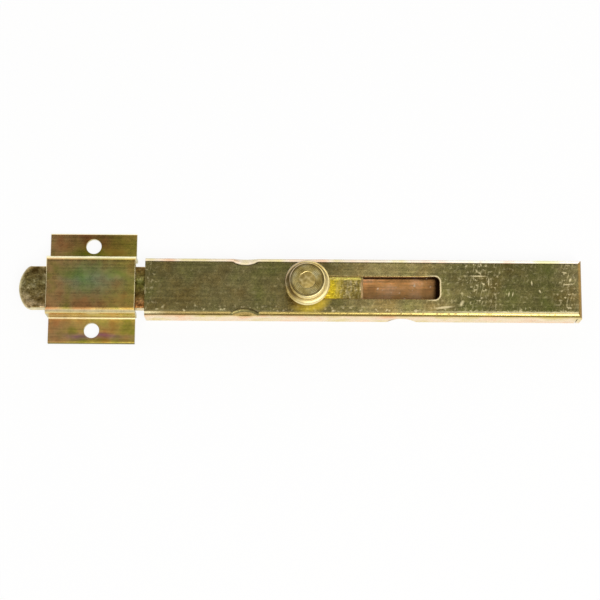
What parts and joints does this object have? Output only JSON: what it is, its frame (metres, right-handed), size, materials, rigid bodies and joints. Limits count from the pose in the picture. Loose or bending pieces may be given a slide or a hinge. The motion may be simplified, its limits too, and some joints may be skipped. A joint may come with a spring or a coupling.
{
  "type": "shoot bolt",
  "caption": "Surface-fixed sliding shoot bolt: folded box casing with a slotted front, flat bar bolt with a turned pull knob, and a hat-section staple keeper.",
  "frame": {"origin": "middle of the casing's back face, where it lies on the door", "axes": "+X along the bolt, from its nose towards the casing's closed end; +Y across the casing; +Z out of the door, from the back face towards the knob"},
  "size_m": [0.2035, 0.0409, 0.0216],
  "materials": {
    "casing_zinc": "yellow passivated zinc plate, semi-bright",
    "plate_zinc": "yellow passivated zinc plate, dull",
    "keeper_zinc": "yellow passivated zinc plate, iridescent",
    "bolt_zinc": "yellow passivated zinc plate over rolled bar",
    "stud_zinc": "yellow passivated zinc plate, peened",
    "knob_zinc": "yellow passivated zinc plate over turned steel, bright"
  },
  "bodies": {
    "casing": {"casing_cover": "casing_zinc", "back_plate": "plate_zinc", "keeper": "keeper_zinc"},
    "bolt": {"bolt_bar": "bolt_zinc", "knob_stud": "stud_zinc", "knob": "knob_zinc"}
  },
  "joints": [
    {"name": "bolt_slide", "type": "slide", "parent": "casing", "child": "bolt", "axis": [1, 0, 0], "range_m": [0, 0.044]}
  ]
}
